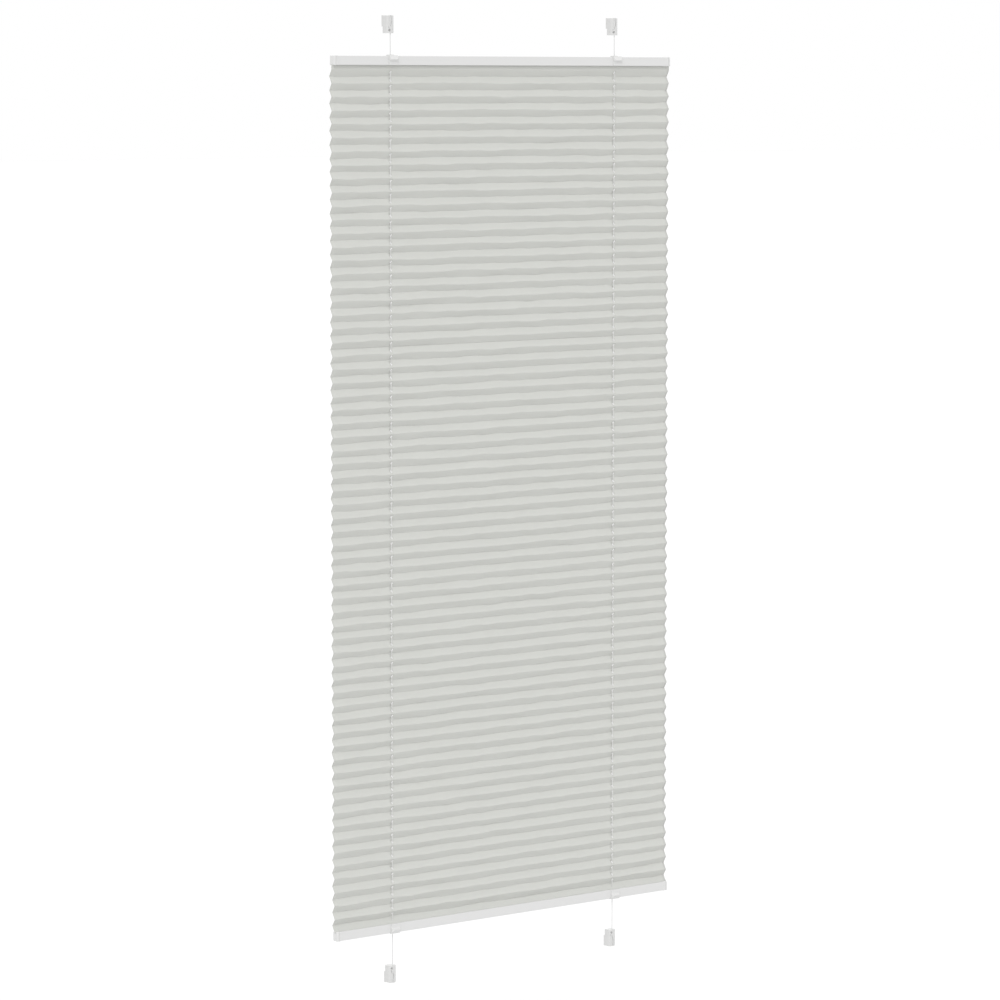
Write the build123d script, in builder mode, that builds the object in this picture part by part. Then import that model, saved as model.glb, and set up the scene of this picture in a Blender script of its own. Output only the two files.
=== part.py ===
from build123d import *
from math import hypot, tan, radians
import os

# Pleated blind that runs on two taut cords between four shoes fixed to the window frame.
# +X is to the right as seen from the room, -Y is towards the room and +Z is up.
# The origin is the centre of the four screw holes, in the plane of the shoes' backs (y = 0).
# All sizes are in millimetres.

# Overall sizes
fabric_width = 500.0       # pleated sheet, edge to edge
blind_drop = 1000.0        # outer edge of the top rail to outer edge of the bottom rail
rail_set_in = 1.0          # the rails stop this far inside each edge of the sheet
top_gap = 25.5             # top rail to top shoes
bottom_gap = 39.0          # bottom rail to bottom shoes

# Cords
cord_inset = 84.0          # cord to the sheet's edge
cord_diameter = 1.0
cord_stand_off = 9.5       # cord axis to the window frame
cord_clearance = 0.4       # cord to each part that slides along it
cord_hole = cord_diameter + 2 * cord_clearance

# Rails: channels with the web outwards and a slot towards the sheet
rail_height = 10.4
rail_depth = 8.0
rail_wall = 0.8
rail_corner = 0.6
slot_front_margin = 0.6    # slot edge to the sheet
slot_back_margin = 0.25    # slot edge to the cord's hole
cap_length = 6.2
cap_proud = 0.25           # cap stands this far outside the rail's section
cap_edge = 0.9
cap_seam = 0.3             # chamfer where the cap meets the rail
cap_groove_in = 2.6        # groove round the cap, from its outer end
cap_groove_width = 0.5
cap_groove_depth = 0.3
plug_length = 9.0
plug_clearance = 0.1

# Strip that grips the sheet's end inside each rail
strip_thickness = 1.6
strip_side_clearance = 0.15
strip_end_clearance = 1.0
groove_depth = 0.6

# Pleated sheet
sheet_thickness = 0.3
pleat_depth = 4.2          # front folds to back folds
front_folds = 64
sheet_set_back = 0.4       # middle of the pleats behind the cord axis
sheet_root_ahead = 1.6     # the sheet's ends in the rails, ahead of the cord axis
top_lead = 12.7            # top rail to the first back fold
bottom_lead = 6.6          # last back fold to the bottom rail
sheet_hole_width = 2.4     # punched hole, across the sheet
sheet_clearance = 0.35     # sheet to the parts that slide past or grip it

# Cord guides with a finger lip
guide_width = 12.0
guide_plate = 0.8
guide_lip_reach = 3.6
guide_lip_drop = 3.4
guide_lip_edge = 0.7
guide_corner = 2.4         # corners of the finger lip, seen from above
guide_neck = 9.0           # width of the part over the rail's outer edge
guide_foot_short = 0.4     # front plate stops this far from the rail's inner edge
boss_width = 8.0
boss_depth = 4.6
boss_height = 0.6
boss_corner = 1.4

# Bushes that carry the cords through the rails
bush_wall = 0.75
bush_spigot_wall = 0.45
bush_fit = 0.05
bush_side_clearance = 0.3  # bush to the rail's back wall
bush_diameter = cord_hole + 2 * bush_wall
bush_spigot = cord_hole + 2 * bush_spigot_wall
rail_ahead = rail_depth / 2 - rail_wall - bush_diameter / 2 - bush_side_clearance

# Shoes and their bases
shoe_width = 10.0
shoe_front_wall = 1.5      # shoe's front to the cord axis
shoe_depth = cord_stand_off + shoe_front_wall
shoe_way_clearance = 0.15  # cord to its way through a shoe
shoe_height = 20.0
shoe_front_round = 3.0
shoe_end_round = 0.8
base_thickness = 2.0
base_height = 12.5
tenon_width = 7.0
tenon_depth = 3.0
tenon_height = 9.5
tenon_clearance = 0.15
pocket_depth = 5.4
screw_hole = 3.4
window_diameter = 2.8
window_depth = 2.4
recess_depth = 0.5

# The cord's way through a shoe, from the end that faces the rail: across, ahead of the cord axis, in
shoe_route = [(0.0, 0.0, 2.4), (-3.3, 0.8, 5.2), (0.2, 1.0, 9.8), (0.2, 1.0, shoe_height)]
window_place = (-2.0, 3.4)

# Places that follow from the sizes above
TOP = 1
BOTTOM = -1
LEFT = -1
RIGHT = 1
shoe_gap = {TOP: top_gap, BOTTOM: bottom_gap}
screw_in = shoe_height - base_height / 2
screw_z = (blind_drop + top_gap + bottom_gap) / 2 + screw_in
cord_x = fabric_width / 2 - cord_inset
cord_y = -cord_stand_off
rail_y = cord_y - rail_ahead
rail_front = rail_y - rail_depth / 2
rail_length = fabric_width - 2 * rail_set_in
profile_length = rail_length - 2 * cap_length
channel_depth = rail_depth - 2 * rail_wall
channel_height = rail_height - 2 * rail_wall
sheet_root = cord_y - sheet_root_ahead
slot_front = sheet_root - sheet_thickness / 2 - slot_front_margin
slot_back = cord_y + cord_hole / 2 + slot_back_margin
strip_length = profile_length - 2 * (plug_length + strip_end_clearance)
pleats_y = cord_y + sheet_set_back
sides = {"top": TOP, "bottom": BOTTOM}
hands = {"left": LEFT, "right": RIGHT}


def shoe_near(side):
    """Height of a shoe's end that faces its rail."""
    return side * (screw_z - screw_in)


def rail_edge(side):
    """Height of a rail's outer edge, which faces the shoes."""
    return shoe_near(side) - side * shoe_gap[side]


def rail_inner(side):
    """Height of a rail's edge on the sheet's side."""
    return rail_edge(side) - side * rail_height


def save(part, label):
    """Name a finished piece and write its file."""
    part.label = label
    export_step(part, f"parts/{label}.step")


def rail_profile(side):
    """Extruded channel, with a hole through its web for each cord's bush."""
    middle = rail_edge(side) - side * rail_height / 2
    lips = rail_inner(side)
    with BuildPart() as profile:
        with BuildSketch(Plane.YZ.offset(-profile_length / 2)):
            with Locations((rail_y, middle)):
                RectangleRounded(rail_depth, rail_height, rail_corner)
                Rectangle(channel_depth, channel_height, mode=Mode.SUBTRACT)
            with Locations(((slot_front + slot_back) / 2, lips)):
                Rectangle(slot_back - slot_front, 2 * rail_wall, mode=Mode.SUBTRACT)
        extrude(amount=profile_length)
        with BuildSketch(Plane.XY.offset(rail_edge(side) - side * rail_wall)):
            with Locations((-cord_x, cord_y), (cord_x, cord_y)):
                Circle(bush_spigot / 2 + bush_fit)
        extrude(amount=rail_wall, both=True, mode=Mode.SUBTRACT)
    return profile.part


def end_cap(side, hand):
    """Moulded cap: a block that continues the rail, and a plug in the channel."""
    middle = rail_edge(side) - side * rail_height / 2
    inner_end = hand * profile_length / 2
    with BuildPart() as cap:
        with BuildSketch(Plane.YZ.offset(inner_end)):
            with Locations((rail_y, middle)):
                RectangleRounded(
                    rail_depth + 2 * cap_proud,
                    rail_height + 2 * cap_proud,
                    rail_corner + cap_proud,
                )
        extrude(amount=hand * cap_length)
        inner_face, *others, outer_face = cap.faces().sort_by(Axis.X)[::hand]
        fillet(outer_face.edges(), cap_edge)
        chamfer(inner_face.edges(), cap_seam)
        with BuildSketch(Plane.YZ.offset(hand * (rail_length / 2 - cap_groove_in))):
            with Locations((rail_y, middle)):
                Rectangle(2 * rail_depth, 2 * rail_height)
                RectangleRounded(
                    rail_depth + 2 * (cap_proud - cap_groove_depth),
                    rail_height + 2 * (cap_proud - cap_groove_depth),
                    rail_corner,
                    mode=Mode.SUBTRACT,
                )
        extrude(amount=-hand * cap_groove_width, mode=Mode.SUBTRACT)
        with BuildSketch(Plane.YZ.offset(inner_end)):
            with Locations((rail_y, middle)):
                Rectangle(channel_depth - 2 * plug_clearance, channel_height - 2 * plug_clearance)
        extrude(amount=-hand * plug_length)
    return cap.part


def retaining_strip(side):
    """Flat strip on the channel's lips, grooved for the sheet's end and holed for the cords."""
    seat = rail_inner(side) + side * rail_wall
    with BuildPart() as strip:
        with BuildSketch(Plane.XY.offset(seat)):
            with Locations((0, rail_y)):
                Rectangle(strip_length, channel_depth - 2 * strip_side_clearance)
            with Locations((-cord_x, cord_y), (cord_x, cord_y)):
                Circle(cord_hole / 2, mode=Mode.SUBTRACT)
        extrude(amount=side * strip_thickness)
        with BuildSketch(Plane.XY.offset(seat)):
            with Locations((0, sheet_root)):
                Rectangle(strip_length, sheet_thickness + 2 * sheet_clearance)
        extrude(amount=side * groove_depth, mode=Mode.SUBTRACT)
    return strip.part


def cord_bush(side, hand):
    """Tube from the strip to the web, with a spigot in the web's hole."""
    strip_top = rail_inner(side) + side * (rail_wall + strip_thickness)
    web_inside = rail_edge(side) - side * rail_wall
    with BuildPart() as bush:
        with BuildSketch(Plane.XY.offset(strip_top)):
            with Locations((hand * cord_x, cord_y)):
                Circle(bush_diameter / 2)
        extrude(amount=web_inside - strip_top)
        with BuildSketch(Plane.XY.offset(web_inside)):
            with Locations((hand * cord_x, cord_y)):
                Circle(bush_spigot / 2)
        extrude(amount=side * rail_wall)
        with BuildSketch(Plane.XY.offset(strip_top)):
            with Locations((hand * cord_x, cord_y)):
                Circle(cord_hole / 2)
        extrude(amount=rail_edge(side) - strip_top, mode=Mode.SUBTRACT)
    return bush.part


def cord_guide(side, hand):
    """Clip over the rail's front and outer edge: a finger lip in front, a boss round the cord."""
    edge = rail_edge(side)
    plate_front = rail_front - guide_plate
    lip_front = rail_front - guide_lip_reach
    lip_top = edge - side * guide_lip_drop
    lip_bottom = lip_top - side * guide_lip_edge
    foot = edge - side * (rail_height - guide_foot_short)
    hollow_radius = plate_front - lip_front
    plate_back = cord_y + boss_depth / 2
    with BuildPart() as guide:
        with BuildSketch(Plane.YZ.offset(hand * cord_x - guide_width / 2)):
            with BuildLine():
                Polyline(
                    (plate_front, foot),
                    (rail_front, foot),
                    (rail_front, edge),
                    (plate_back, edge),
                    (plate_back, edge + side * guide_plate),
                    (plate_front, edge + side * guide_plate),
                    (lip_front, lip_top),
                    (lip_front, lip_bottom),
                )
                hollow = RadiusArc(
                    (lip_front, lip_bottom),
                    (plate_front, lip_bottom - side * hollow_radius),
                    side * hollow_radius,
                )
                Line(hollow @ 1, (plate_front, foot))
            make_face()
        extrude(amount=guide_width)
        with BuildSketch(Plane.XY.offset(edge)) as plan:
            with Locations((hand * cord_x, (lip_front + rail_front) / 2)):
                Rectangle(guide_width, rail_front - lip_front)
            fillet(plan.vertices().group_by(Axis.Y)[0], guide_corner)
            with Locations((hand * cord_x, (rail_front + plate_back) / 2)):
                Rectangle(guide_neck, plate_back - rail_front)
        extrude(amount=rail_height, both=True, mode=Mode.INTERSECT)
        with BuildSketch(Plane.XY.offset(edge + side * guide_plate)):
            with Locations((hand * cord_x, cord_y)):
                RectangleRounded(boss_width, boss_depth, boss_corner)
        extrude(amount=side * boss_height)
        with BuildSketch(Plane.XY.offset(edge)):
            with Locations((hand * cord_x, cord_y)):
                Circle(cord_hole / 2)
        extrude(amount=side * (guide_plate + boss_height), mode=Mode.SUBTRACT)
    return guide.part


def route_points(hand):
    """The cord's corners, from its end in the top shoe to its end in the bottom shoe."""
    ends = []
    for side in (TOP, BOTTOM):
        ends.append(
            [
                (hand * cord_x + across, cord_y - ahead, shoe_near(side) + side * inwards)
                for across, ahead, inwards in shoe_route
            ]
        )
    return ends[0][::-1] + ends[1]


def route_radii(points):
    """At each corner, the largest arc that leaves a tenth of the shorter run straight."""
    radii = []
    for before, corner, after in zip(points, points[1:], points[2:]):
        run_in = Vector(*corner) - Vector(*before)
        run_out = Vector(*after) - Vector(*corner)
        turn = radians(run_in.get_angle(run_out))
        radii.append(0.45 * min(run_in.length, run_out.length) / tan(turn / 2))
    return radii


def cord_tube(hand, diameter):
    """Round tube along one cord's route."""
    points = route_points(hand)
    with BuildPart() as tube:
        with BuildLine() as route:
            FilletPolyline(*points, radius=route_radii(points))
        with BuildSketch(Plane(origin=route.line @ 0, z_dir=route.line % 0)):
            Circle(diameter / 2)
        sweep()
    return tube.part, route.wires()[0].length


def shoe(side, hand, cord_way):
    """Moulded shoe: rounded front, pocket for its base, and the cord's way through it."""
    near = shoe_near(side)
    far = near + side * shoe_height
    x = hand * cord_x
    back = -base_thickness
    front = -shoe_depth
    with BuildPart() as body:
        with BuildSketch(Plane.XY.offset(near)):
            with Locations((x, (back + front) / 2)):
                Rectangle(shoe_width, back - front)
        extrude(amount=side * shoe_height)
        fillet(body.edges().filter_by(Axis.Z).group_by(Axis.Y)[0], shoe_front_round)
        far_face = body.faces().sort_by(Axis.Z)[-1 if side == TOP else 0]
        fillet(far_face.edges() - far_face.edges().group_by(Axis.Y)[-1], shoe_end_round)
        with BuildSketch(Plane.XZ.offset(base_thickness)):
            with Locations((x, side * screw_z)):
                Rectangle(tenon_width + 2 * tenon_clearance, tenon_height + 2 * tenon_clearance)
        extrude(amount=pocket_depth, mode=Mode.SUBTRACT)
        with BuildSketch(Plane.XZ.offset(shoe_depth)):
            with BuildLine():
                corners = [(across, inwards) for across, ahead, inwards in shoe_route[1:]]
                outside = -shoe_width
                outline = [*corners, (outside, shoe_height), (outside, corners[0][1])]
                Polyline(*[(x + a, near + side * b) for a, b in outline], close=True)
            make_face()
        extrude(amount=-recess_depth, mode=Mode.SUBTRACT)
        with BuildSketch(Plane.XZ.offset(shoe_depth)):
            with Locations((x + window_place[0], near + side * window_place[1])):
                Circle(window_diameter / 2)
        extrude(amount=-window_depth, mode=Mode.SUBTRACT)
        add(cord_way, mode=Mode.SUBTRACT)
    return body.part


def shoe_base(side, hand):
    """Plate screwed to the window frame, with a tenon that the shoe slides over."""
    with BuildPart() as base:
        with BuildSketch(Plane.XZ):
            with Locations((hand * cord_x, side * screw_z)):
                Rectangle(shoe_width, base_height)
        extrude(amount=base_thickness)
        with BuildSketch(Plane.XZ.offset(base_thickness)):
            with Locations((hand * cord_x, side * screw_z)):
                Rectangle(tenon_width, tenon_height)
        extrude(amount=tenon_depth)
        with BuildSketch(Plane.XZ):
            with Locations((hand * cord_x, side * screw_z)):
                Circle(screw_hole / 2)
        extrude(amount=base_thickness + tenon_depth, mode=Mode.SUBTRACT)
    return base.part


def fold_line():
    """The sheet's side view, from its end in the top rail to its end in the bottom rail."""
    first_back = rail_inner(TOP) - top_lead
    last_back = rail_inner(BOTTOM) + bottom_lead
    pitch = (first_back - last_back) / (front_folds - 1)
    front = pleats_y - pleat_depth / 2
    back = pleats_y + pleat_depth / 2
    tail = rail_wall + groove_depth - sheet_clearance
    line = [(sheet_root, rail_inner(TOP) + tail), (sheet_root, rail_inner(TOP))]
    for fold in range(front_folds):
        line.append((front, first_back + pitch / 2 - fold * pitch))
        line.append((back, first_back - fold * pitch))
    line.append((sheet_root, rail_inner(BOTTOM)))
    line.append((sheet_root, rail_inner(BOTTOM) - tail))
    panel = hypot(pleat_depth, pitch / 2)
    return line, sheet_thickness * panel / pitch


def pleated_sheet():
    """One folded sheet; only its ends are narrowed, to pass between the end caps."""
    line, half = fold_line()
    outline = [(y - half, z) for y, z in line] + [(y + half, z) for y, z in reversed(line)]
    trim_top = rail_inner(TOP) - cap_proud - sheet_clearance
    trim_bottom = rail_inner(BOTTOM) + cap_proud + sheet_clearance
    trim_width = (fabric_width - strip_length) / 2
    with BuildPart() as sheet:
        with BuildSketch(Plane.YZ.offset(-fabric_width / 2)):
            with BuildLine():
                Polyline(*outline, close=True)
            make_face()
        extrude(amount=fabric_width)
        for trim, side in ((trim_top, TOP), (trim_bottom, BOTTOM)):
            with BuildSketch(Plane.XY.offset(trim)):
                with Locations(*[(hand * (fabric_width - trim_width) / 2, cord_y) for hand in (LEFT, RIGHT)]):
                    Rectangle(trim_width, 2 * rail_depth)
            extrude(amount=side * rail_height, mode=Mode.SUBTRACT)
        with BuildSketch(Plane.XY.offset(rail_inner(BOTTOM) - rail_height)):
            with Locations((-cord_x, cord_y), (cord_x, cord_y)):
                SlotOverall(sheet_hole_width, cord_diameter + 2 * sheet_clearance)
        extrude(amount=blind_drop, mode=Mode.SUBTRACT)
    return sheet.part


os.makedirs("parts", exist_ok=True)
for hand_name, hand in hands.items():
    cord, cord_length = cord_tube(hand, cord_diameter)
    cord_way, way_length = cord_tube(hand, cord_diameter + 2 * shoe_way_clearance)
    print(hand_name, "cord length", round(cord_length, 1), "volume", round(cord.volume, 1))
    print(hand_name, "cord radii", [round(radius, 2) for radius in route_radii(route_points(hand))])
    save(cord, f"{hand_name}_cord")
    for side_name, side in sides.items():
        place = f"{side_name}_{hand_name}"
        save(shoe(side, hand, cord_way), f"{place}_shoe")
        save(shoe_base(side, hand), f"{place}_shoe_base")
        save(cord_guide(side, hand), f"{place}_cord_guide")
        save(cord_bush(side, hand), f"{place}_cord_bush")
        save(end_cap(side, hand), f"{place}_end_cap")
for side_name, side in sides.items():
    save(rail_profile(side), f"{side_name}_rail_profile")
    save(retaining_strip(side), f"{side_name}_sheet_strip")
save(pleated_sheet(), "pleated_sheet")
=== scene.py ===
import bpy
from math import ceil, hypot, pi, radians, sin
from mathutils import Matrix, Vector, noise


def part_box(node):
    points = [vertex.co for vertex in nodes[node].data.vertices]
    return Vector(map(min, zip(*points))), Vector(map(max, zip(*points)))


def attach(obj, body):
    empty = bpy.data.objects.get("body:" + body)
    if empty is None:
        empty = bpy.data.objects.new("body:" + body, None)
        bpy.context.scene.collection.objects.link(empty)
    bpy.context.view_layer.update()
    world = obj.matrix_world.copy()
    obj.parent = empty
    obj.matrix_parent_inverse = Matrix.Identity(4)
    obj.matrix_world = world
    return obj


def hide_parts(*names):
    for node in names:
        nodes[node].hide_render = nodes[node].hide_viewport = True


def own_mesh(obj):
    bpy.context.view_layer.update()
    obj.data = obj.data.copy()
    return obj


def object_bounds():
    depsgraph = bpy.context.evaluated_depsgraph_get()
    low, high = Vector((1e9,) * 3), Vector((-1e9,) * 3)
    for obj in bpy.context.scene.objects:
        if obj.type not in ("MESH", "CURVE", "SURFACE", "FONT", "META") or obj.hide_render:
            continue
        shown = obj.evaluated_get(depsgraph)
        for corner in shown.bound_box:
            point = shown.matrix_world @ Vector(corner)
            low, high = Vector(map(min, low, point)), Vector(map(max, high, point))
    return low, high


# Pleated blind on two taut cords. Everything is in metres, in the CAD model's own frame:
# +X is to the right as seen from the room, -Y is towards the room and +Z is up.

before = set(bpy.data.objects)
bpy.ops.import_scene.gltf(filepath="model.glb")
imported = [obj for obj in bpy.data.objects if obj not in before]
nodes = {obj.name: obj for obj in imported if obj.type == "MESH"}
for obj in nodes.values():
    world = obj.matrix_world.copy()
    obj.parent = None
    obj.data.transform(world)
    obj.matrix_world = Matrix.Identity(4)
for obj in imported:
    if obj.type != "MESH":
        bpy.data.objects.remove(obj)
cad_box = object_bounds()
MM = 0.001
FIXED_BODY = "window_fittings"

# Camera
camera_place = (-3.1277, -3.8455, 0.4754)
camera_turn = 39.131       # degrees to the right of +Y
camera_tilt = -5.549       # degrees above the horizon
camera_lens = 154.19

# Cords, with the route that the CAD model gives them in each shoe:
# across, ahead of the cord's axis, and inwards from the shoe's end that faces its rail
cord_diameter = 1.0 * MM
shoe_route = [
    (0.0, 0.0, 0.0024),
    (-0.0033, 0.0008, 0.0052),
    (0.0002, 0.0010, 0.0098),
    (0.0002, 0.0010, 0.0200),
]
straight_lead = 6 * cord_diameter
cord_smoothness = 16       # steps along each stretch of the spline
cord_roundness = 5         # steps round a quarter of the cord

# Pleated sheet
front_folds = 64
pleat_depth = 4.2 * MM
pleats_behind_cord = 0.4 * MM
root_ahead_of_cord = 1.6 * MM
last_root_ahead = 2.15 * MM  # the sheet leans on the front edge of the bottom rail's slot
top_lead = 12.7 * MM       # top rail to the first back fold
bottom_lead = 6.6 * MM     # last back fold to the bottom rail
root_tail = 1.05 * MM      # end of the sheet inside each rail
sheet_thickness = 0.3 * MM
hole_width = 2.4 * MM
hole_depth = 1.7 * MM      # seen along the cord
parting = 43               # the back fold, by its place on the line, where the two pieces meet
first_fold = 2             # on the line, after the sheet's end and the rail's face
column_step = 5.0 * MM
hole_patch = 3.2 * MM      # half the width of the finer mesh round a hole
hole_columns = 5
panel_rows = (0.05, 0.35, 0.65, 0.95)
part_panel_rows = (0.05, 0.25, 0.5, 0.75, 0.95)
fold_wander_y = 0.25 * MM
fold_wander_z = 0.70 * MM
fold_ripple_z = 0.45 * MM
ripple_length = 0.016
panel_bow = 0.22 * MM
last_panel_sag = 0.5 * MM  # the last panel dips as it comes down to the bottom rail
pucker = 0.30 * MM         # at the holes
pucker_reach = 7.0 * MM
sag_wander = 0.3
wander_length = 0.035
wander_gain = 1.6          # brings the noise to about -1 to 1
fold_spacing = 3.71        # between folds in the noise, so that neighbours differ
channel_spacing = 11.0     # between the noise's channels, for the same reason
DEPTH, HEIGHT, BOW, PUCKER, RIPPLE = range(5)    # the channels
seed = 7.3

# Cloth, cord and room
weave_pitch = 0.42 * MM
light_through = 0.12       # share of the light that the cloth lets through
braid_pitch = 0.7 * MM
braid_strands = 4
floor_reach = 60.0
floor_drop = 0.35          # floor below the lowest shoes


def lerp(a, b, t):
    return a + (b - a) * t


# ---------------------------------------------------------------- places from the frame


def centre_of(node):
    low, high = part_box(node)
    return (low + high) / 2


cord_x = centre_of("top_right_cord_bush").x
cord_y = centre_of("top_right_cord_bush").y
sheet_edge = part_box("pleated_sheet")[1].x
top_rail_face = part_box("top_rail_profile")[0].z
bottom_rail_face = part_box("bottom_rail_profile")[1].z
shoe_near = {1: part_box("top_left_shoe")[0].z, -1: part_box("bottom_left_shoe")[1].z}


# ---------------------------------------------------------------- camera


def make_camera():
    data = bpy.data.cameras.new("camera")
    data.sensor_width = 36.0
    data.lens = camera_lens
    data.clip_start = 0.1
    data.clip_end = 100.0
    camera = bpy.data.objects.new("camera", data)
    bpy.context.scene.collection.objects.link(camera)
    camera.location = camera_place
    camera.rotation_euler = (radians(90 + camera_tilt), 0.0, -radians(camera_turn))
    bpy.context.scene.camera = camera


make_camera()


# ---------------------------------------------------------------- materials


class Nodes:
    """A material's nodes, made and joined in short calls."""

    def __init__(self, name):
        self.material = bpy.data.materials.new(name + "_finish")
        self.material.use_nodes = True
        self.tree = self.material.node_tree
        self.shader = self.tree.nodes["Principled BSDF"]
        self.output = self.tree.nodes["Material Output"]

    def put(self, socket, value):
        if isinstance(value, bpy.types.NodeSocket):
            self.tree.links.new(value, socket)
        else:
            socket.default_value = value

    def add(self, kind, out=0, inputs=(), **settings):
        node = self.tree.nodes.new(kind)
        for key, value in settings.items():
            setattr(node, key, value)
        for key, value in dict(inputs).items():
            self.put(node.inputs[key], value)
        return node.outputs[out]

    def math(self, operation, *values):
        return self.add("ShaderNodeMath", inputs=dict(enumerate(values)), operation=operation)

    def noise(self, vector, scale, detail=2.0, roughness=0.5):
        values = {"Vector": vector, "Scale": scale, "Detail": detail, "Roughness": roughness}
        return self.add("ShaderNodeTexNoise", inputs=values)

    def spread(self, value, low, high):
        """A value from 0 to 1 as a value from low to high."""
        values = {"Value": value, "To Min": low, "To Max": high}
        return self.add("ShaderNodeMapRange", inputs=values)

    def tint(self, value, dark, light):
        # The Mix node keeps sockets for each kind of data: 6, 7 and output 2 are the colours
        ends = {0: value, 6: (*dark, 1.0), 7: (*light, 1.0)}
        return self.add("ShaderNodeMix", out=2, inputs=ends, data_type="RGBA")

    def stretched(self, vector, scale):
        return self.add("ShaderNodeMapping", inputs={"Vector": vector, "Scale": scale})

    def bump(self, height, strength, distance):
        values = {"Height": height, "Strength": strength, "Distance": distance}
        return self.add("ShaderNodeBump", inputs=values)

    def finish(self, **sockets):
        for name, value in sockets.items():
            self.put(self.shader.inputs[name.replace("_", " ")], value)
        return self.material


def place_of(nodes_):
    return nodes_.add("ShaderNodeTexCoord", out="Object")


def cloth_material():
    """Dense plain weave with slubs along the weft, and a little light through it."""
    n = Nodes("pleated_cloth")
    uv = n.add("ShaderNodeUVMap", uv_map="cloth")
    parts = n.tree.nodes.new("ShaderNodeSeparateXYZ")
    n.put(parts.inputs[0], uv)
    warp, weft = (
        n.math("ABSOLUTE", n.math("SINE", n.math("MULTIPLY", place, pi / weave_pitch)))
        for place in (parts.outputs[0], parts.outputs[1])
    )
    weave = n.math("MULTIPLY", n.math("ADD", warp, weft), 0.5)
    slub = n.noise(n.stretched(uv, (60.0, 1400.0, 1.0)), scale=1.0, detail=3.0)
    cloud = n.noise(n.stretched(uv, (18.0, 60.0, 1.0)), scale=1.0, detail=2.0)
    mix = n.math("ADD", n.math("MULTIPLY", weave, 0.35), n.math("MULTIPLY", slub, 0.40))
    tone = n.math("ADD", mix, n.math("MULTIPLY", cloud, 0.25))
    colour = n.tint(tone, (0.541, 0.547, 0.520), (0.625, 0.631, 0.602))
    height = n.math("ADD", n.math("MULTIPLY", weave, 0.6), n.math("MULTIPLY", slub, 0.4))
    bump = n.bump(height, strength=0.35, distance=0.05 * MM)
    n.finish(Base_Color=colour, Roughness=n.spread(slub, 0.72, 0.88), Normal=bump)
    n.finish(Specular_IOR_Level=0.3, Sheen_Weight=0.15, Sheen_Roughness=0.6)
    through = n.add("ShaderNodeBsdfTranslucent", inputs={"Color": colour, "Normal": bump})
    shares = {0: light_through, 1: n.shader.outputs[0], 2: through}
    n.put(n.output.inputs["Surface"], n.add("ShaderNodeMixShader", inputs=shares))
    return n.material


def cord_material():
    """Round braided cord: two sets of strands winding opposite ways."""
    n = Nodes("cord")
    parts = n.tree.nodes.new("ShaderNodeSeparateXYZ")
    n.put(parts.inputs[0], place_of(n))
    across = n.math("SUBTRACT", n.math("ABSOLUTE", parts.outputs[0]), cord_x)
    ahead = n.math("SUBTRACT", parts.outputs[1], cord_y)
    turn = n.math("MULTIPLY", n.math("ARCTAN2", ahead, across), braid_strands)
    along = n.math("MULTIPLY", parts.outputs[2], 2 * pi / braid_pitch)
    left = n.math("SINE", n.math("ADD", along, turn))
    right = n.math("SINE", n.math("SUBTRACT", along, turn))
    braid = n.math("MAXIMUM", left, right)
    level = n.spread(braid, 0.0, 1.0)
    fuzz = n.noise(place_of(n), scale=6000.0, detail=3.0)
    tone = n.math("ADD", n.math("MULTIPLY", level, 0.7), n.math("MULTIPLY", fuzz, 0.3))
    colour = n.tint(tone, (0.57, 0.57, 0.565), (0.70, 0.70, 0.695))
    bump = n.bump(level, strength=0.6, distance=0.08 * MM)
    n.finish(Base_Color=colour, Roughness=n.spread(fuzz, 0.5, 0.7), Normal=bump)
    return n.finish(Sheen_Weight=0.2, Sheen_Roughness=0.5)


def coated_material():
    """Powder-coated aluminium: satin, with a fine orange peel."""
    n = Nodes("rail_coating")
    place = place_of(n)
    peel = n.noise(place, scale=900.0, detail=3.0)
    grain = n.noise(place, scale=4500.0, detail=2.0)
    drift = n.noise(n.stretched(place, (4.0, 60.0, 60.0)), scale=1.0, detail=2.0)
    tone = n.math("ADD", n.math("MULTIPLY", drift, 0.6), n.math("MULTIPLY", grain, 0.4))
    colour = n.tint(tone, (0.594, 0.594, 0.590), (0.642, 0.642, 0.638))
    height = n.math("ADD", n.math("MULTIPLY", peel, 0.7), n.math("MULTIPLY", grain, 0.3))
    bump = n.bump(height, strength=0.25, distance=0.02 * MM)
    n.finish(Base_Color=colour, Roughness=n.spread(peel, 0.36, 0.46), Normal=bump)
    return n.finish(Metallic=0.0, Specular_IOR_Level=0.5)


def moulded_material(name, dark, light, rough=(0.34, 0.46), texture=2600.0):
    """Moulded plastic with a spark-eroded skin."""
    n = Nodes(name)
    place = place_of(n)
    skin = n.noise(place, scale=texture, detail=4.0, roughness=0.6)
    flow = n.noise(place, scale=160.0, detail=2.0)
    tone = n.math("ADD", n.math("MULTIPLY", flow, 0.6), n.math("MULTIPLY", skin, 0.4))
    n.finish(Base_Color=n.tint(tone, dark, light), Roughness=n.spread(skin, *rough))
    n.finish(Normal=n.bump(skin, strength=0.25, distance=0.03 * MM), Subsurface_Weight=0.05)
    return n.finish(Subsurface_Radius=(0.002, 0.002, 0.002), Subsurface_Scale=0.5)


def floor_material():
    n = Nodes("studio_floor")
    cloud = n.noise(place_of(n), scale=1.5, detail=2.0)
    colour = n.tint(cloud, (0.785, 0.785, 0.785), (0.805, 0.805, 0.805))
    return n.finish(Base_Color=colour, Roughness=0.9, Specular_IOR_Level=0.0)


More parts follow.
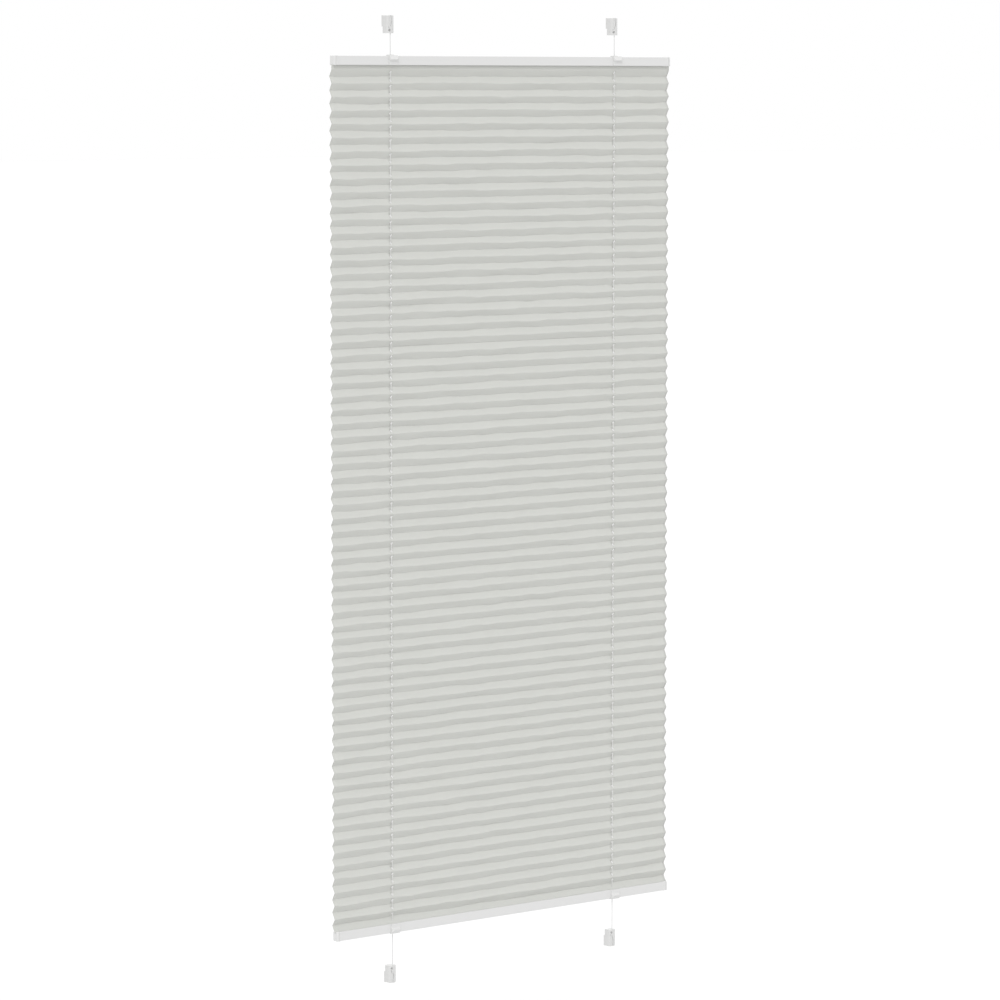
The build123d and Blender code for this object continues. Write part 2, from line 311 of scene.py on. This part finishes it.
finishes = {
    "pleated_cloth": cloth_material(),
    "cord": cord_material(),
    "rail_coating": coated_material(),
    "cap_plastic": moulded_material("cap_plastic", (0.595, 0.595, 0.59), (0.65, 0.65, 0.645)),
    "guide_plastic": moulded_material("guide_plastic", (0.60, 0.60, 0.595), (0.66, 0.66, 0.655)),
    "shoe_plastic": moulded_material("shoe_plastic", (0.54, 0.54, 0.536), (0.62, 0.62, 0.615)),
    "bush_plastic": moulded_material(
        "bush_plastic", (0.55, 0.55, 0.54), (0.62, 0.62, 0.61), rough=(0.28, 0.4)
    ),
    "strip_plastic": moulded_material(
        "strip_plastic", (0.50, 0.50, 0.50), (0.56, 0.56, 0.56), rough=(0.4, 0.5)
    ),
}


# ---------------------------------------------------------------- making pieces


def mesh_object(name, vertices, faces, material):
    mesh = bpy.data.meshes.new(name)
    mesh.from_pydata(vertices, [], faces)
    mesh.materials.append(material)
    mesh.validate()
    piece = bpy.data.objects.new(name, mesh)
    bpy.context.scene.collection.objects.link(piece)
    return piece


def finish_node(node, slot):
    """Give a CAD node whose shape is kept its material."""
    piece = nodes[node]
    piece.data.materials.clear()
    piece.data.materials.append(finishes[slot])


# ---------------------------------------------------------------- cords


def cord_points(hand):
    """Control points from the cord's end in the top shoe to its end in the bottom shoe."""
    ends = []
    for side in (1, -1):
        outwards = [
            (hand * cord_x + across, cord_y - ahead, shoe_near[side] + side * inwards)
            for across, ahead, inwards in shoe_route
        ]
        lead = shoe_near[side] + side * (shoe_route[0][2] - straight_lead)
        ends.append([(hand * cord_x, cord_y, lead), *outwards])
    return ends[0][::-1] + ends[1]


def make_cord(name, hand):
    points = cord_points(hand)
    data = bpy.data.curves.new(name + "_braid", "CURVE")
    data.dimensions = "3D"
    spline = data.splines.new("NURBS")
    spline.points.add(len(points) - 1)
    for point, place in zip(spline.points, points):
        point.co = (*place, 1.0)
    spline.order_u = 3
    spline.use_endpoint_u = True
    spline.resolution_u = cord_smoothness
    data.bevel_depth = cord_diameter / 2
    data.bevel_resolution = cord_roundness
    data.use_fill_caps = True
    data.materials.append(finishes["cord"])
    cord = bpy.data.objects.new(name + "_braid", data)
    bpy.context.scene.collection.objects.link(cord)
    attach(cord, FIXED_BODY)
    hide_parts(name)


make_cord("left_cord", -1)
make_cord("right_cord", 1)


# ---------------------------------------------------------------- pleated sheet


def fold_line():
    """The sheet's side view, as (y, z) places from its end in the top rail to its other end."""
    first_back = top_rail_face - top_lead
    last_back = bottom_rail_face + bottom_lead
    pitch = (first_back - last_back) / (front_folds - 1)
    middle = cord_y + pleats_behind_cord
    front = middle - pleat_depth / 2
    back = middle + pleat_depth / 2
    root = cord_y - root_ahead_of_cord
    line = [(root, top_rail_face + root_tail), (root, top_rail_face)]
    for fold in range(front_folds):
        line.append((front, first_back + pitch / 2 - fold * pitch))
        line.append((back, first_back - fold * pitch))
    line.append((cord_y - last_root_ahead, bottom_rail_face))
    line.append((root, bottom_rail_face - root_tail))
    return line


def wander(fold, x, channel, length=wander_length):
    """Smooth unevenness along a fold, from about -1 to 1."""
    place = Vector((x / length, fold * fold_spacing, seed + channel * channel_spacing))
    return noise.noise(place) * wander_gain


def columns():
    """Places across the sheet, finer round each cord, and where each finer patch starts."""
    inner, outer = cord_x - hole_patch, cord_x + hole_patch
    edges = [-sheet_edge, -outer, -inner, inner, outer, sheet_edge]
    across = [edges[0]]
    patches = []
    for index, (start, end) in enumerate(zip(edges, edges[1:])):
        patch = index in (1, 3)    # the stretches round the two cords
        steps = hole_columns if patch else ceil((end - start) / column_step)
        if patch:
            patches.append(len(across) - 1)
        across += [lerp(start, end, (k + 1) / steps) for k in range(steps)]
    return across, patches


class Sheet:
    """One folded sheet between two folds of the line, with a hole at each cord."""

    def __init__(self, line, first, last):
        self.line = line
        self.first = first
        self.last = last
        self.across, self.patches = columns()
        self.vertices = []
        self.places = []
        self.faces = []
        self.last_fold = len(line) - 1 - first_fold
        self.run = [0.0]
        for (y0, z0), (y1, z1) in zip(line, line[1:]):
            self.run.append(self.run[-1] + hypot(y1 - y0, z1 - z0))

    def fold_point(self, fold, x):
        y, z = self.line[fold]
        if first_fold <= fold <= self.last_fold:
            y += fold_wander_y * wander(fold, x, DEPTH)
            if fold != parting:
                z += fold_wander_z * wander(fold, x, HEIGHT)
                z += fold_ripple_z * wander(fold, x, RIPPLE, ripple_length)
        return Vector((x, y, z))

    def place(self, fold, share, x):
        start = self.fold_point(fold, x)
        end = self.fold_point(fold + 1, x)
        along = (end - start).normalized()
        forward = Vector((0.0, along.z, -along.y))
        near_hole = max(0.0, 1.0 - abs(abs(x) - cord_x) / pucker_reach)
        bow = 0.0
        if first_fold <= fold < self.last_fold:
            bow = panel_bow * wander(fold, x, BOW) + pucker * near_hole**2 * wander(fold, x, PUCKER)
        elif fold == self.last_fold:
            bow = -last_panel_sag * (1.0 + sag_wander * wander(fold, x, BOW))
        return start.lerp(end, share) + forward * bow * sin(pi * share)

    def vertex(self, fold, share, x):
        self.vertices.append(self.place(fold, share, x))
        self.places.append((x, lerp(self.run[fold], self.run[fold + 1], share)))
        return len(self.vertices) - 1

    def row(self, fold, share):
        return [self.vertex(fold, share, x) for x in self.across]

    def join(self, upper, lower, skip=()):
        for k in range(len(upper) - 1):
            if k not in skip:
                self.faces.append((upper[k], lower[k], lower[k + 1], upper[k + 1]))

    def hole(self, fold, rows, start):
        """Quads from the patch's edge to an oval hole."""
        stop = start + hole_columns
        rim = [rows[0][k] for k in range(start, stop)]
        rim += [row[stop] for row in rows[:-1]]
        rim += [rows[-1][k] for k in range(stop, start, -1)]
        rim += [row[start] for row in rows[:0:-1]]
        (y0, z0), (y1, z1) = self.line[fold], self.line[fold + 1]
        length = hypot(y1 - y0, z1 - z0)
        middle_share = (cord_y - y0) / (y1 - y0)
        middle_x = (self.across[start] + self.across[stop]) / 2
        half_share = hole_depth / 2 / abs(y1 - y0)
        inner = []
        for index in rim:
            x, run = self.places[index]
            side = (x - middle_x) / (hole_width / 2)
            height = ((run - self.run[fold]) / length - middle_share) / half_share
            reach = hypot(side, height)
            share = middle_share + half_share * height / reach
            inner.append(self.vertex(fold, share, middle_x + hole_width / 2 * side / reach))
        for k in range(len(rim)):
            after = (k + 1) % len(rim)
            self.faces.append((rim[k], inner[k], inner[after], rim[after]))

    def build(self, name):
        upper = self.row(self.first, 0.0)
        for fold in range(self.first, self.last):
            full = first_fold <= fold < self.last_fold
            shares = panel_rows if full else part_panel_rows
            rows = [self.row(fold, share) for share in shares]
            self.join(upper, rows[0])
            skip = [s + k for s in self.patches for k in range(hole_columns)] if full else ()
            for a, b in zip(rows, rows[1:]):
                self.join(a, b, skip)
            if full:
                for start in self.patches:
                    self.hole(fold, rows, start)
            at_end = fold + 2 == len(self.line)
            lower = self.row(fold, 1.0) if at_end else self.row(fold + 1, 0.0)
            self.join(rows[-1], lower)
            upper = lower
        piece = mesh_object(name, self.vertices, self.faces, finishes["pleated_cloth"])
        layer = piece.data.uv_layers.new(name="cloth")
        for loop in piece.data.loops:
            layer.data[loop.index].uv = self.places[loop.vertex_index]
        piece.data.shade_smooth()
        solid = piece.modifiers.new("thickness", "SOLIDIFY")
        solid.thickness = sheet_thickness
        solid.offset = 0.0
        return piece, self.run[self.last] - self.run[self.first]


def make_sheet(name, first, last):
    line = fold_line()
    piece, length = Sheet(line, first, last).build(name)
    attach(piece, FIXED_BODY)
    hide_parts("pleated_sheet")
    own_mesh(piece)


last_place = len(fold_line()) - 1
make_sheet("pleated_sheet_upper", 0, parting)
make_sheet("pleated_sheet_lower", parting, last_place)


# ---------------------------------------------------------------- rails and fittings

for side in ("top", "bottom"):
    finish_node(f"{side}_rail_profile", "rail_coating")
    finish_node(f"{side}_sheet_strip", "strip_plastic")
    for hand in ("left", "right"):
        finish_node(f"{side}_{hand}_end_cap", "cap_plastic")
        finish_node(f"{side}_{hand}_cord_guide", "guide_plastic")
        finish_node(f"{side}_{hand}_cord_bush", "bush_plastic")
        finish_node(f"{side}_{hand}_shoe", "shoe_plastic")
        finish_node(f"{side}_{hand}_shoe_base", "shoe_plastic")


# ---------------------------------------------------------------- floor and light


def make_floor():
    level = cad_box[0].z - floor_drop
    signs = ((-1, -1), (1, -1), (1, 1), (-1, 1))
    corners = [(across * floor_reach, ahead * floor_reach, level) for across, ahead in signs]
    floor = mesh_object("studio_floor", corners, [(0, 1, 2, 3)], floor_material())


def soft_sun(name, towards, spread, strength):
    """Even light from far off, as from a large softbox; towards is the way that it shines."""
    data = bpy.data.lights.new(name, "SUN")
    data.angle = radians(spread)
    data.energy = strength
    lamp = bpy.data.objects.new(name, data)
    bpy.context.scene.collection.objects.link(lamp)
    lamp.rotation_euler = Vector(towards).to_track_quat("-Z", "Y").to_euler()


def make_light():
    world = bpy.data.worlds.new("studio")
    world.use_nodes = True
    background = world.node_tree.nodes["Background"]
    background.inputs["Color"].default_value = (1.0, 1.0, 1.0, 1.0)
    background.inputs["Strength"].default_value = 1.0
    bpy.context.scene.world = world
    bpy.context.scene.view_settings.view_transform = "Standard"
    soft_sun("key", towards=(0.55, 0.60, -0.80), spread=26.0, strength=1.10)
    soft_sun("back_fill", towards=(-0.45, -0.70, -0.75), spread=40.0, strength=0.45)


make_floor()
make_light()
